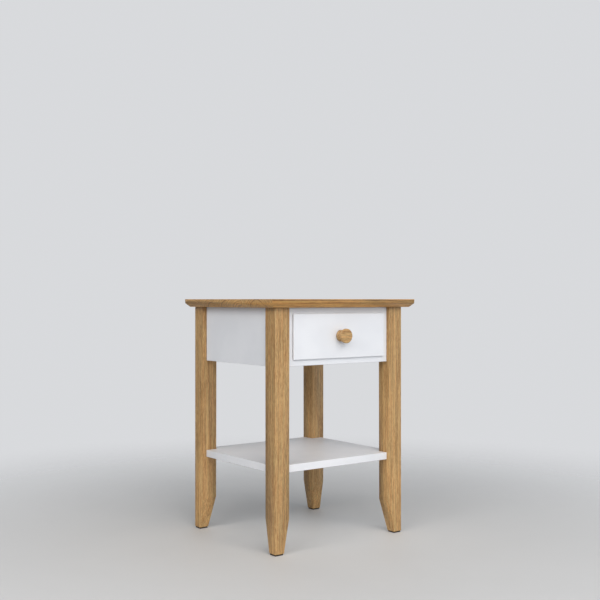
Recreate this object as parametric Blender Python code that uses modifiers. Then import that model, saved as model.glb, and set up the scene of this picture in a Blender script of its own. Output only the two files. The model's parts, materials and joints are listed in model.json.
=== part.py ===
"""A nightstand: oak top and legs, a white painted case with one drawer, and a low open shelf.

Metres, +Z up, +X to the right, -Y to the front. The origin is on the floor under the middle of
the top. Every piece that meets another keeps the clearance GAP to it.
"""

from math import cos, pi, sin

import bmesh
import bpy
from mathutils import Matrix, Vector

# ---------------------------------------------------------------- driving dimensions
HEIGHT = 0.602
TOP_WIDTH = 0.451
TOP_DEPTH = 0.397
TOP_THICKNESS = 0.020
SIDE_OVERHANG = 0.025
FRONT_OVERHANG = 0.023
BACK_OVERHANG = 0.009
LEG_SIDE = 0.042
CASE_HEIGHT = 0.140
PANEL_INSET = 0.010
SHELF_TOP = 0.2085
SHELF_THICKNESS = 0.018
DRAWER_TRAVEL = 0.200
GAP = 0.0003

# Top: a square edge over a chamfered underside
TOP_EDGE = 0.011
TOP_CHAMFER_INWARD = 0.010
TOP_ARRIS = 0.0008

# Legs: the two inner faces taper towards the foot
TAPER_START = 0.084
TAPER_INWARD = 0.016
LEG_ROUNDING = 0.002
PAD_THICKNESS = 0.0035
PAD_INSET = 0.00175
PAD_PIN_RADIUS = 0.0025
PAD_PIN_LENGTH = 0.012

# Case
PANEL_THICKNESS = 0.015
FRAME_THICKNESS = 0.018
TENON_THICKNESS = 0.008
TENON_LENGTH = 0.010
TENON_SHOULDER = 0.004
TENON_OVERLAP = 0.003
PAINTED_EDGE = 0.0008

# Drawer front and the opening behind it
FRONT_HALF_WIDTH = 0.144
FRONT_BOTTOM_MARGIN = 0.015
FRONT_TOP_MARGIN = 0.015
LIP_THICKNESS = 0.006
LIP_OVERLAP = 0.006
LIP_ARRIS = 0.001
FRONT_THICKNESS = 0.020
OPENING_PLAY = 0.001

# Drawer box
BOX_BOARD = 0.012
BOX_ARRIS = 0.0006
BOX_DEPTH = 0.2915
BOX_BACK_TOP_DROP = 0.010
BOTTOM_THICKNESS = 0.005
BOTTOM_GROOVE = 0.0055
BOTTOM_ABOVE_EDGE = 0.006

# Runners, guides and kickers
RUNNER_WIDTH = 0.0195
RUNNER_ABOVE_CASE = 0.001
GUIDE_HEIGHT = 0.029
KICKER_CLEARANCE = 0.0013
BATTEN_WIDTH = 0.020

# Turn button that stops the open drawer
BUTTON_HALF_WIDTH = 0.007
BUTTON_THICKNESS = 0.0075
BUTTON_CATCH = 0.008
BUTTON_FACETS = 32

# Knob
KNOB_HEIGHT = 0.0245
KNOB_DISC_RADIUS = 0.01775
KNOB_DISC_THICKNESS = 0.0075
KNOB_EDGE_ROUNDING = 0.0015
KNOB_FLANGE_RADIUS = 0.0143
KNOB_FLANGE_THICKNESS = 0.004
KNOB_WAIST_RADIUS = 0.0105
KNOB_NECK_STEPS = 6
KNOB_FACETS = 40

# Wood screws
SCREW_HEAD_RADIUS = 0.0040
SCREW_SHANK_RADIUS = 0.0020
SCREW_HEAD_DEPTH = 0.0025
SCREW_FACETS = 12
GUIDE_SCREW_LENGTH = 0.045
TOP_SCREW_LENGTH = 0.032
BUTTON_SCREW_LENGTH = 0.022
FRONT_SCREW_LENGTH = 0.028
KNOB_SCREW_BITE = 0.014
RUNNER_SCREW_SHARES = {"front": 0.2, "back": 0.8}
FRONT_SCREW_SHARE = 0.7

# Dowels, and the holes for them and the pads' pins
DOWEL_RADIUS = 0.004
DOWEL_LENGTH = 0.030
DOWEL_CHAMFER = 0.001
DOWEL_HOLE_EXTRA = 0.001
DOWEL_FACETS = 16
PIN_FACETS = 12
BEYOND = 0.005

# ---------------------------------------------------------------- places worked out from them
CASE_TOP = HEIGHT - TOP_THICKNESS
CASE_BOTTOM = CASE_TOP - CASE_HEIGHT
LEG_OUTER_X = TOP_WIDTH / 2 - SIDE_OVERHANG
LEG_INNER_X = LEG_OUTER_X - LEG_SIDE
LEGS_FRONT = FRONT_OVERHANG - TOP_DEPTH / 2
LEGS_BACK = TOP_DEPTH / 2 - BACK_OVERHANG
INNER_FRONT = LEGS_FRONT + LEG_SIDE
INNER_BACK = LEGS_BACK - LEG_SIDE

PANEL_OUTER_X = LEG_OUTER_X - PANEL_INSET
PANEL_INNER_X = PANEL_OUTER_X - PANEL_THICKNESS
FRAME_FRONT = LEGS_FRONT + PANEL_INSET
FRAME_BACK = FRAME_FRONT + FRAME_THICKNESS
BACK_PANEL_OUTER = LEGS_BACK - PANEL_INSET
BACK_PANEL_INNER = BACK_PANEL_OUTER - PANEL_THICKNESS

FRONT_BOTTOM = CASE_BOTTOM + FRONT_BOTTOM_MARGIN
FRONT_TOP = CASE_TOP - FRONT_TOP_MARGIN
OPENING_HALF_WIDTH = FRONT_HALF_WIDTH - LIP_OVERLAP
OPENING_BOTTOM = FRONT_BOTTOM + LIP_OVERLAP
OPENING_TOP = FRONT_TOP - LIP_OVERLAP

LIP_BACK = FRAME_FRONT - GAP
FRONT_FACE = LIP_BACK - LIP_THICKNESS
BLOCK_BACK = FRONT_FACE + FRONT_THICKNESS
BOX_HALF_WIDTH = OPENING_HALF_WIDTH - OPENING_PLAY
BOX_INNER_X = BOX_HALF_WIDTH - BOX_BOARD
BOX_FRONT = BLOCK_BACK + GAP
BOX_BACK = BLOCK_BACK + BOX_DEPTH
BOX_FRONT_INNER = BOX_FRONT + BOX_BOARD
BOX_BACK_INNER = BOX_BACK - BOX_BOARD
BOX_BOTTOM = OPENING_BOTTOM + GAP
BOX_TOP = OPENING_TOP - KICKER_CLEARANCE
BOTTOM_LOW = BOX_BOTTOM + BOTTOM_ABOVE_EDGE
BOTTOM_HIGH = BOTTOM_LOW + BOTTOM_THICKNESS
BACK_TOP = BOX_TOP - BOX_BACK_TOP_DROP

RAIL_FRONT = FRAME_BACK + GAP
RAIL_BACK = BACK_PANEL_INNER - GAP
GUIDE_INNER_X = OPENING_HALF_WIDTH + GAP
GUIDE_TOP = OPENING_BOTTOM + GUIDE_HEIGHT
RUNNER_INNER_X = GUIDE_INNER_X - GAP - RUNNER_WIDTH

BUTTON_BACK = BOX_BACK_INNER - DRAWER_TRAVEL - GAP
BUTTON_FRONT = BUTTON_BACK - BUTTON_THICKNESS
BATTEN_BACK = BUTTON_FRONT - GAP
BATTEN_FRONT = BATTEN_BACK - BATTEN_WIDTH
BUTTON_PIVOT_Z = (OPENING_TOP + CASE_TOP) / 2
BUTTON_TIP_Z = BACK_TOP - BUTTON_CATCH

KNOB_Z = (FRONT_BOTTOM + FRONT_TOP) / 2

SIDES = {"left": -1, "right": 1}
ENDS = {"front": -1, "back": 1}

# ---------------------------------------------------------------- scene and collections
for old in list(bpy.data.objects):
    bpy.data.objects.remove(old)

parts = bpy.data.collections.new("nightstand")
cutters = bpy.data.collections.new("cutters")
bpy.context.scene.collection.children.link(parts)
bpy.context.scene.collection.children.link(cutters)


def make_material(name, colour, roughness, metallic=0.0):
    material = bpy.data.materials.new(name)
    material.use_nodes = True
    shader = material.node_tree.nodes["Principled BSDF"]
    shader.inputs["Base Color"].default_value = (*colour, 1.0)
    shader.inputs["Roughness"].default_value = roughness
    shader.inputs["Metallic"].default_value = metallic
    return material


OAK = make_material("oak", (0.52, 0.33, 0.15), 0.45)
PAINT = make_material("white_paint", (0.85, 0.85, 0.86), 0.40)
PINE = make_material("pine", (0.70, 0.52, 0.32), 0.55)
BEECH = make_material("beech", (0.62, 0.45, 0.28), 0.55)
PLYWOOD = make_material("plywood", (0.66, 0.50, 0.33), 0.60)
STEEL = make_material("steel", (0.62, 0.62, 0.60), 0.35, metallic=1.0)
FELT = make_material("foot_pad", (0.05, 0.03, 0.02), 0.90)


# ---------------------------------------------------------------- building blocks
def place(name, mesh, material, collection=parts):
    piece = bpy.data.objects.new(name, mesh)
    collection.objects.link(piece)
    if material:
        mesh.materials.append(material)
    else:
        piece.hide_render = True
        piece.display_type = "WIRE"
    return piece


def box_mesh(name, size):
    """A box with its middle at the mesh's origin."""
    shape = bmesh.new()
    bmesh.ops.create_cube(shape, size=1.0)
    bmesh.ops.scale(shape, vec=size, verts=shape.verts)
    mesh = bpy.data.meshes.new(name)
    shape.to_mesh(mesh)
    shape.free()
    return mesh


def block(name, x, y, z, material, collection=parts):
    """A box between two values on each axis, with its origin at its middle."""
    low = Vector([min(pair) for pair in (x, y, z)])
    high = Vector([max(pair) for pair in (x, y, z)])
    piece = place(name, box_mesh(name, high - low), material, collection)
    piece.location = (low + high) / 2
    return piece


def turned(name, profile, steps, material, at, axis, collection=parts):
    """A solid of revolution. The profile holds (radius, height) from its top down, and the
    height runs along axis from the point at."""
    mesh = bpy.data.meshes.new(name)
    points = [(radius, 0.0, height) for radius, height in profile]
    mesh.from_pydata(points, [(i, i + 1) for i in range(len(points) - 1)], [])
    piece = place(name, mesh, material, collection)
    piece.location = at
    piece.rotation_mode = "QUATERNION"
    piece.rotation_quaternion = Vector(axis).to_track_quat("Z", "Y")
    screw = piece.modifiers.new("turn", "SCREW")
    screw.steps = steps
    screw.render_steps = steps
    screw.use_merge_vertices = True
    screw.merge_threshold = 0.00001
    screw.use_smooth_shade = True
    return piece


def cut(piece, cutter):
    boolean = piece.modifiers.new("cut_" + cutter.name, "BOOLEAN")
    boolean.operation = "DIFFERENCE"
    boolean.solver = "EXACT"
    boolean.object = cutter


def join(piece, extra):
    boolean = piece.modifiers.new("join_" + extra.name, "BOOLEAN")
    boolean.operation = "UNION"
    boolean.solver = "EXACT"
    boolean.object = extra


def helper_block(name, x, y, z):
    return block(name, x, y, z, None, cutters)


def ease_edges(piece, width, segments, direction=None):
    """Rounds the edges along a direction, or every sharp edge."""
    bevel = piece.modifiers.new("ease", "BEVEL")
    bevel.width = width
    bevel.segments = segments
    if direction is None:
        bevel.limit_method = "ANGLE"
        return
    bevel.limit_method = "WEIGHT"
    mesh = piece.data
    weights = mesh.attributes.new("bevel_weight_edge", "FLOAT", "EDGE")
    for edge in mesh.edges:
        start, end = (mesh.vertices[i].co for i in edge.vertices)
        along = (end - start).normalized().dot(Vector(direction))
        weights.data[edge.index].value = 1.0 if abs(along) > 0.9 else 0.0


def tongue(piece, name, x, y, z, sockets):
    """A tenon on a piece, and its mortise in each neighbour. The mortise is GAP larger all round."""
    join(piece, helper_block(name, x, y, z))
    grown = [(min(pair) - GAP, max(pair) + GAP) for pair in (x, y, z)]
    mortise = helper_block(name + "_mortise", *grown)
    for socket in sockets:
        cut(socket, mortise)


def screw_profile(length, grow=0.0, above=0.0):
    """A countersunk wood screw from its head down, or, grown, the hole for one."""
    head = SCREW_HEAD_RADIUS + grow
    shank = SCREW_SHANK_RADIUS + grow
    tip = 2 * SCREW_SHANK_RADIUS
    profile = [(0.0, above), (head, above)]
    if above:
        profile.append((head, 0.0))
    return profile + [
        (shank, -SCREW_HEAD_DEPTH - grow),
        (shank, -length + tip - grow),
        (0.0, -length - grow),
    ]


def wood_screw(name, at, axis, length, through):
    """A screw whose head is sunk by GAP at a point, and its hole in each piece it goes through.
    The axis points out of the head."""
    at = Vector(at) - Vector(axis) * GAP
    hole_profile = screw_profile(length, GAP, BEYOND)
    hole = turned(name + "_hole", hole_profile, SCREW_FACETS, None, at, axis, cutters)
    for piece in through:
        cut(piece, hole)
    return turned(name, screw_profile(length), SCREW_FACETS, STEEL, at, axis)


def dowel_profile():
    half = DOWEL_LENGTH / 2
    end_radius = DOWEL_RADIUS - DOWEL_CHAMFER
    return [
        (0.0, half),
        (end_radius, half),
        (DOWEL_RADIUS, half - DOWEL_CHAMFER),
        (DOWEL_RADIUS, DOWEL_CHAMFER - half),
        (end_radius, -half),
        (0.0, -half),
    ]


def rod_profile(length, radius):
    half = length / 2
    return [(0.0, half), (radius, half), (radius, -half), (0.0, -half)]


def axis_empty(name, at):
    empty = bpy.data.objects.new(name, None)
    empty.empty_display_size = 0.03
    empty.location = at
    parts.objects.link(empty)
    return empty


def hang_on(empty, pieces):
    """Parents pieces to an empty and leaves them where they are."""
    for piece in pieces:
        piece.parent = empty
        piece.matrix_parent_inverse = Matrix.Translation(empty.location).inverted()


# ---------------------------------------------------------------- top board
def make_top():
    top = block(
        "top_board",
        (-TOP_WIDTH / 2, TOP_WIDTH / 2),
        (-TOP_DEPTH / 2, TOP_DEPTH / 2),
        (CASE_TOP, HEIGHT),
        OAK,
    )
    shape = bmesh.new()
    shape.from_mesh(top.data)
    bmesh.ops.bisect_plane(
        shape,
        geom=shape.verts[:] + shape.edges[:] + shape.faces[:],
        plane_co=(0, 0, TOP_THICKNESS / 2 - TOP_EDGE),
        plane_no=(0, 0, 1),
    )
    for vertex in shape.verts:
        if vertex.co.z < -TOP_THICKNESS / 2 + GAP:
            vertex.co.x -= TOP_CHAMFER_INWARD if vertex.co.x > 0 else -TOP_CHAMFER_INWARD
            vertex.co.y -= TOP_CHAMFER_INWARD if vertex.co.y > 0 else -TOP_CHAMFER_INWARD
    shape.to_mesh(top.data)
    shape.free()
    ease_edges(top, TOP_ARRIS, 2)
    return top


# ---------------------------------------------------------------- legs and foot pads
def make_leg(end, side):
    """A square leg in one corner, with its two inner faces tapered at the foot."""
    sign_x = SIDES[side]
    sign_y = ENDS[end]
    outer_x = sign_x * LEG_OUTER_X
    outer_y = LEGS_FRONT if end == "front" else LEGS_BACK
    inner_x = outer_x - sign_x * LEG_SIDE
    inner_y = outer_y - sign_y * LEG_SIDE
    low = PAD_THICKNESS + GAP
    high = CASE_TOP - GAP
    leg = block(f"leg_{end}_{side}", (outer_x, inner_x), (outer_y, inner_y), (low, high), OAK)
    shape = bmesh.new()
    shape.from_mesh(leg.data)
    bmesh.ops.bisect_plane(
        shape,
        geom=shape.verts[:] + shape.edges[:] + shape.faces[:],
        plane_co=(0, 0, TAPER_START - leg.location.z),
        plane_no=(0, 0, 1),
    )
    for vertex in shape.verts:
        if vertex.co.z < low - leg.location.z + GAP:
            if vertex.co.x * sign_x < 0:
                vertex.co.x += sign_x * TAPER_INWARD
            if vertex.co.y * sign_y < 0:
                vertex.co.y += sign_y * TAPER_INWARD
    shape.to_mesh(leg.data)
    shape.free()
    ease_edges(leg, LEG_ROUNDING, 3, (0, 0, 1))
    return leg


def make_foot_pad(end, side, leg):
    """A thin glide under the foot, held by a plug in the leg's end."""
    sign_x = SIDES[side]
    sign_y = ENDS[end]
    foot = LEG_SIDE - TAPER_INWARD
    middle_x = sign_x * (LEG_OUTER_X - foot / 2)
    middle_y = (LEGS_FRONT if end == "front" else LEGS_BACK) - sign_y * foot / 2
    half = foot / 2 - PAD_INSET
    pad = block(
        f"foot_pad_{end}_{side}",
        (middle_x - half, middle_x + half),
        (middle_y - half, middle_y + half),
        (0.0, PAD_THICKNESS),
        FELT,
    )
    overlap = PAD_THICKNESS / 2
    length = PAD_PIN_LENGTH + overlap
    middle = (middle_x, middle_y, PAD_THICKNESS - overlap + length / 2)
    upward = (0, 0, 1)
    pin_profile = rod_profile(length, PAD_PIN_RADIUS)
    join(pad, turned(pad.name + "_pin", pin_profile, PIN_FACETS, None, middle, upward, cutters))
    hole_profile = rod_profile(length + 2 * GAP, PAD_PIN_RADIUS + GAP)
    cut(leg, turned(pad.name + "_hole", hole_profile, PIN_FACETS, None, middle, upward, cutters))
    return pad


# ---------------------------------------------------------------- case: panels, rails, stiles
def make_side_panel(side, legs):
    sign = SIDES[side]
    panel = block(
        f"side_panel_{side}",
        (sign * PANEL_INNER_X, sign * PANEL_OUTER_X),
        (INNER_FRONT + GAP, INNER_BACK - GAP),
        (CASE_BOTTOM, CASE_TOP - GAP),
        PAINT,
    )
    ease_edges(panel, PAINTED_EDGE, 1)
    middle = sign * (PANEL_INNER_X + PANEL_OUTER_X) / 2
    x = (middle - TENON_THICKNESS / 2, middle + TENON_THICKNESS / 2)
    z = (CASE_BOTTOM + TENON_SHOULDER, CASE_TOP - TENON_SHOULDER)
    for end, shoulder in (("front", INNER_FRONT), ("back", INNER_BACK)):
        sign_y = ENDS[end]
        y = (shoulder - sign_y * TENON_OVERLAP, shoulder + sign_y * TENON_LENGTH)
        tongue(panel, f"{panel.name}_tenon_{end}", x, y, z, [legs[end, side]])
    return panel


def cross_piece(name, y, z, material, legs, end):
    """A panel or rail between the two front or the two back legs, tenoned into both."""
    reach = LEG_INNER_X - GAP
    piece = block(name, (-reach, reach), y, z, material)
    ease_edges(piece, PAINTED_EDGE, 1)
    middle = sum(y) / 2
    tenon_y = (middle - TENON_THICKNESS / 2, middle + TENON_THICKNESS / 2)
    tenon_z = (z[0] + TENON_SHOULDER, z[1] - TENON_SHOULDER)
    for side, sign in SIDES.items():
        x = (sign * (reach - TENON_OVERLAP), sign * (LEG_INNER_X + TENON_LENGTH))
        tongue(piece, f"{name}_tenon_{side}", x, tenon_y, tenon_z, [legs[end, side]])
    return piece


def make_front_frame(legs):
    depth = (FRAME_FRONT, FRAME_BACK)
    cross_piece("front_rail_top", depth, (OPENING_TOP, CASE_TOP - GAP), PAINT, legs, "front")
    cross_piece("front_rail_bottom", depth, (CASE_BOTTOM, OPENING_BOTTOM), PAINT, legs, "front")
    for side, sign in SIDES.items():
        block(
            f"front_stile_{side}",
            (sign * OPENING_HALF_WIDTH, sign * (LEG_INNER_X - GAP)),
            depth,
            (OPENING_BOTTOM + GAP, OPENING_TOP - GAP),
            PAINT,
        )


# ---------------------------------------------------------------- shelf
def make_shelf(legs):
    shelf = block(
        "shelf",
        (-PANEL_OUTER_X, PANEL_OUTER_X),
        (FRAME_FRONT, BACK_PANEL_OUTER),
        (SHELF_TOP - SHELF_THICKNESS, SHELF_TOP),
        PAINT,
    )
    through = (SHELF_TOP - SHELF_THICKNESS - BEYOND, SHELF_TOP + BEYOND)
    for (end, side) in legs:
        sign = SIDES[side]
        x = (sign * (LEG_INNER_X - GAP), sign * (PANEL_OUTER_X + BEYOND))
        if end == "front":
            y = (FRAME_FRONT - BEYOND, INNER_FRONT + GAP)
        else:
            y = (INNER_BACK - GAP, BACK_PANEL_OUTER + BEYOND)
        cut(shelf, helper_block(f"shelf_notch_{end}_{side}", x, y, through))
    ease_edges(shelf, PAINTED_EDGE, 1)
    return shelf


def make_shelf_dowel(end, side, shelf, leg):
    """A dowel across the notch face, half in the shelf and half in the leg."""
    sign = SIDES[side]
    middle_y = (FRAME_FRONT + INNER_FRONT) / 2 if end == "front" else (INNER_BACK + BACK_PANEL_OUTER) / 2
    middle = (sign * LEG_INNER_X, middle_y, SHELF_TOP - SHELF_THICKNESS / 2)
    name = f"shelf_dowel_{end}_{side}"
    sideways = (1, 0, 0)
    turned(name, dowel_profile(), DOWEL_FACETS, BEECH, middle, sideways)
    hole_profile = rod_profile(DOWEL_LENGTH + DOWEL_HOLE_EXTRA, DOWEL_RADIUS + GAP)
    hole = turned(name + "_hole", hole_profile, DOWEL_FACETS, None, middle, sideways, cutters)
    cut(shelf, hole)
    cut(leg, hole)


# ---------------------------------------------------------------- what the drawer runs on
def make_runner_set(side, panel, top):
    """The guide beside the drawer, the runner under it and the kicker over it."""
    sign = SIDES[side]
    between_legs = (INNER_FRONT + GAP, INNER_BACK - GAP)
    guide = block(
        f"drawer_guide_{side}",
        (sign * GUIDE_INNER_X, sign * (PANEL_INNER_X - GAP)),
        between_legs,
        (CASE_BOTTOM + RUNNER_ABOVE_CASE, GUIDE_TOP),
        PINE,
    )
    block(
        f"drawer_runner_{side}",
        (sign * RUNNER_INNER_X, sign * (RUNNER_INNER_X + RUNNER_WIDTH)),
        (RAIL_FRONT, RAIL_BACK),
        (CASE_BOTTOM + RUNNER_ABOVE_CASE, OPENING_BOTTOM),
        PINE,
    )
    kicker = block(
        f"drawer_kicker_{side}",
        (sign * RUNNER_INNER_X, sign * (PANEL_INNER_X - GAP)),
        between_legs,
        (OPENING_TOP, CASE_TOP - GAP),
        PINE,
    )
    span = INNER_BACK - INNER_FRONT
    for end, share in RUNNER_SCREW_SHARES.items():
        y = INNER_FRONT + share * span
        wood_screw(
            f"guide_screw_{end}_{side}",
            (sign * GUIDE_INNER_X, y, (OPENING_BOTTOM + GUIDE_TOP) / 2),
            (-sign, 0, 0),
            GUIDE_SCREW_LENGTH,
            [guide, panel],
        )
        wood_screw(
            f"top_screw_{end}_{side}",
            (sign * (RUNNER_INNER_X + PANEL_INNER_X) / 2, y, OPENING_TOP),
            (0, 0, -1),
            TOP_SCREW_LENGTH,
            [kicker, top],
        )


def make_stop(top):
    """A cross batten under the top and the turn button on it, which stops the open drawer."""
    reach = RUNNER_INNER_X - GAP
    batten = block(
        "stop_batten",
        (-reach, reach),
        (BATTEN_FRONT, BATTEN_BACK),
        (OPENING_TOP, CASE_TOP - GAP),
        PINE,
    )
    middle_y = (BATTEN_FRONT + BATTEN_BACK) / 2
    for side, sign in SIDES.items():
        at = (sign * reach / 2, middle_y, OPENING_TOP)
        wood_screw(f"batten_screw_{side}", at, (0, 0, -1), TOP_SCREW_LENGTH, [batten, top])

    # The button hangs on its screw: a bar with a round end above the pivot
    middle = (BUTTON_FRONT + BUTTON_BACK) / 2
    pivot = (0.0, middle, BUTTON_PIVOT_Z)
    bar = block(
        "stop_button",
        (-BUTTON_HALF_WIDTH, BUTTON_HALF_WIDTH),
        (BUTTON_FRONT, BUTTON_BACK),
        (BUTTON_TIP_Z, BUTTON_PIVOT_Z),
        PINE,
    )
    round_end = turned(
        "stop_button_round_end",
        rod_profile(BUTTON_THICKNESS, BUTTON_HALF_WIDTH),
        BUTTON_FACETS,
        None,
        pivot,
        (0, 1, 0),
        cutters,
    )
    join(bar, round_end)
    screw_at = (0.0, BUTTON_BACK, BUTTON_PIVOT_Z)
    wood_screw("stop_button_screw", screw_at, (0, 1, 0), BUTTON_SCREW_LENGTH, [bar, batten])
    hang_on(axis_empty("stop_button_axis", pivot), [bar])


# ---------------------------------------------------------------- drawer
def make_drawer_front():
    """A lipped front: a thin lip lies on the face frame and the block behind it fills the opening."""
    front = block(
        "drawer_front",
        (-FRONT_HALF_WIDTH, FRONT_HALF_WIDTH),
        (FRONT_FACE, LIP_BACK),
        (FRONT_BOTTOM, FRONT_TOP),
        PAINT,
    )
    ease_edges(front, LIP_ARRIS, 2)
    rear = helper_block(
        "drawer_front_block",
        (-BOX_HALF_WIDTH, BOX_HALF_WIDTH),
        (LIP_BACK - LIP_THICKNESS / 2, BLOCK_BACK),
        (OPENING_BOTTOM + OPENING_PLAY, OPENING_TOP - OPENING_PLAY),
    )
    join(front, rear)
    return front


def make_drawer_box():
    """Two sides, a front, a back, and a bottom that lies in grooves."""
    box_front = block(
        "drawer_box_front",
        (GAP - BOX_INNER_X, BOX_INNER_X - GAP),
        (BOX_FRONT, BOX_FRONT_INNER),
        (BOX_BOTTOM, BOX_TOP),
        PINE,
    )
    box_back = block(
        "drawer_back",
        (GAP - BOX_INNER_X, BOX_INNER_X - GAP),
        (BOX_BACK_INNER, BOX_BACK),
        (BOTTOM_HIGH + GAP, BACK_TOP),
        PINE,
    )
    sides = [
        block(
            f"drawer_side_{side}",
            (sign * BOX_INNER_X, sign * BOX_HALF_WIDTH),
            (BOX_FRONT, BOX_BACK),
            (BOX_BOTTOM, BOX_TOP),
            PINE,
        )
        for side, sign in SIDES.items()
    ]
    reach = BOX_INNER_X + BOTTOM_GROOVE
    bottom = block(
        "drawer_bottom",
        (-reach, reach),
        (BOX_FRONT_INNER - BOTTOM_GROOVE, BOX_BACK - GAP),
        (BOTTOM_LOW, BOTTOM_HIGH),
        PLYWOOD,
    )
    groove = helper_block(
        "drawer_bottom_groove",
        (-reach - GAP, reach + GAP),
        (BOX_FRONT_INNER - BOTTOM_GROOVE - GAP, BOX_BACK + BEYOND),
        (BOTTOM_LOW - GAP, BOTTOM_HIGH + GAP),
    )
    for piece in (box_front, *sides):
        cut(piece, groove)
    for piece in (box_front, box_back, *sides):
        ease_edges(piece, BOX_ARRIS, 1)
    return box_front, box_back, sides, bottom


def knob_profile():
    """From the flat front face down to the flange on the drawer. The neck is a cosine curve."""
    disc_back = KNOB_HEIGHT - KNOB_DISC_THICKNESS
    rounding = KNOB_EDGE_ROUNDING
    profile = [(0.0, KNOB_HEIGHT)]
    for middle_z, turns in ((KNOB_HEIGHT - rounding, (0, 1, 2, 3)), (disc_back + rounding, (3, 4, 5))):
        for turn in turns:
            angle = turn * pi / 6
            radius = KNOB_DISC_RADIUS - rounding + rounding * sin(angle)
            profile.append((radius, middle_z + rounding * cos(angle)))
    neck_top = KNOB_DISC_RADIUS - 1.5 * rounding
    waist_z = (disc_back + KNOB_FLANGE_THICKNESS) / 2
    for step in range(KNOB_NECK_STEPS + 1):
        share = step / KNOB_NECK_STEPS
        ease = (1 + cos(pi * share)) / 2
        radius = KNOB_WAIST_RADIUS + (neck_top - KNOB_WAIST_RADIUS) * ease ** 1.5
        profile.append((radius, disc_back + (waist_z - disc_back) * share))
    for step in range(1, KNOB_NECK_STEPS):
        share = step / KNOB_NECK_STEPS
        ease = (1 - cos(pi * share)) / 2
        radius = KNOB_WAIST_RADIUS + (KNOB_FLANGE_RADIUS - KNOB_WAIST_RADIUS) * ease
        profile.append((radius, waist_z + (KNOB_FLANGE_THICKNESS - waist_z) * share))
    profile.append((KNOB_FLANGE_RADIUS, KNOB_FLANGE_THICKNESS))
    profile.append((KNOB_FLANGE_RADIUS, 0.0))
    profile.append((0.0, 0.0))
    return profile


def make_knob(front, box_front):
    seat = (0.0, FRONT_FACE - GAP, KNOB_Z)
    knob = turned("knob", knob_profile(), KNOB_FACETS, OAK, seat, (0, -1, 0))
    head = (0.0, BOX_FRONT_INNER, KNOB_Z)
    length = FRONT_THICKNESS + BOX_BOARD + KNOB_SCREW_BITE
    screw = wood_screw("knob_screw", head, (0, 1, 0), length, [box_front, front, knob])
    return knob, screw


def make_drawer():
    front = make_drawer_front()
    box_front, box_back, sides, bottom = make_drawer_box()
    knob, knob_screw = make_knob(front, box_front)
    pieces = [front, box_front, box_back, *sides, bottom, knob, knob_screw]
    for side, sign in SIDES.items():
        at = (sign * BOX_INNER_X * FRONT_SCREW_SHARE, BOX_FRONT_INNER, KNOB_Z)
        screw = wood_screw(f"front_screw_{side}", at, (0, 1, 0), FRONT_SCREW_LENGTH, [box_front, front])
        pieces.append(screw)
    hang_on(axis_empty("drawer_slide_axis", (0.0, FRONT_FACE, KNOB_Z)), pieces)


# ---------------------------------------------------------------- the nightstand
def make_nightstand():
    top = make_top()
    legs = {(end, side): make_leg(end, side) for end in ENDS for side in SIDES}
    for (end, side), leg in legs.items():
        make_foot_pad(end, side, leg)
    panels = {side: make_side_panel(side, legs) for side in SIDES}
    back_depth = (BACK_PANEL_INNER, BACK_PANEL_OUTER)
    cross_piece("back_panel", back_depth, (CASE_BOTTOM, CASE_TOP - GAP), PAINT, legs, "back")
    make_front_frame(legs)
    shelf = make_shelf(legs)
    for (end, side), leg in legs.items():
        make_shelf_dowel(end, side, shelf, leg)
    for side in SIDES:
        make_runner_set(side, panels[side], top)
    make_stop(top)
    make_drawer()


make_nightstand()
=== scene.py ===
"""The looks of the nightstand: its finished surfaces, materials, light and camera.

Metres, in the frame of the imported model: +Z up, -Y to the front, the floor at z = 0.
"""

import json
import math

import bmesh
import bpy
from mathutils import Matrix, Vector

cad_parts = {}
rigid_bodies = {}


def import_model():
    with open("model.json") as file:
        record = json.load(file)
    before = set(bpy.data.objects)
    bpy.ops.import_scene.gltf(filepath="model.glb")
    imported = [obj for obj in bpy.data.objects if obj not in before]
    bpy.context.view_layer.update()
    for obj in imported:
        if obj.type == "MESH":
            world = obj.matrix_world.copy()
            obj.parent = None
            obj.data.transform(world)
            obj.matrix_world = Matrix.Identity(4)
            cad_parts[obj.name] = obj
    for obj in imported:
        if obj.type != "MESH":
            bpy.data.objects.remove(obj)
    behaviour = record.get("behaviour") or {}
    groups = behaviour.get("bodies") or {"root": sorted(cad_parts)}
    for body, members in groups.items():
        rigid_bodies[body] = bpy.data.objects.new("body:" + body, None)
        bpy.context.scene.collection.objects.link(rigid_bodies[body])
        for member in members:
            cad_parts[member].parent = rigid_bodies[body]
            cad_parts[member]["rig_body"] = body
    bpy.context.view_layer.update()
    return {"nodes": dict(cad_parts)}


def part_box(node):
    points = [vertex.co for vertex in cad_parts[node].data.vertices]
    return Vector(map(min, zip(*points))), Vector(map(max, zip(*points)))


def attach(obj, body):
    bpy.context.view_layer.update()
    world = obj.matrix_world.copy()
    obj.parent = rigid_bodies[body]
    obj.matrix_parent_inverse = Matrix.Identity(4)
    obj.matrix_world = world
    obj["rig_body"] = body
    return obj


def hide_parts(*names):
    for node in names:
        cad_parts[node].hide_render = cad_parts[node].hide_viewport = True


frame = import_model()
scene = bpy.context.scene

SIDES = ("left", "right")
ENDS = ("front", "back")
MM_PER_METRE = 1000.0

# ---------------------------------------------------------------- sizes of the finished edges
LEG_ROUNDING = 0.0021
LEG_END_CHAMFER = 0.0006
TAPER_START = 0.084
TAPER_INWARD = 0.016
TAPER_CREASE = 0.002
TOP_EDGE = 0.011
TOP_CHAMFER_INWARD = 0.010
TOP_ARRIS = 0.0010
TOP_STAVES = 6
PAINTED_ARRIS = 0.0012
LIP_ARRIS = 0.0016
PAD_ARRIS = 0.0006
GAP = 0.0003
OPENING_PLAY = 0.001
MERGE_DISTANCE = 0.00001
SPIN_MERGE_DISTANCE = 0.000005
TOLERANCE = 0.0001
CREASE_ANGLE = 0.5
CORNER_ANGLE = 1.2

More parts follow.
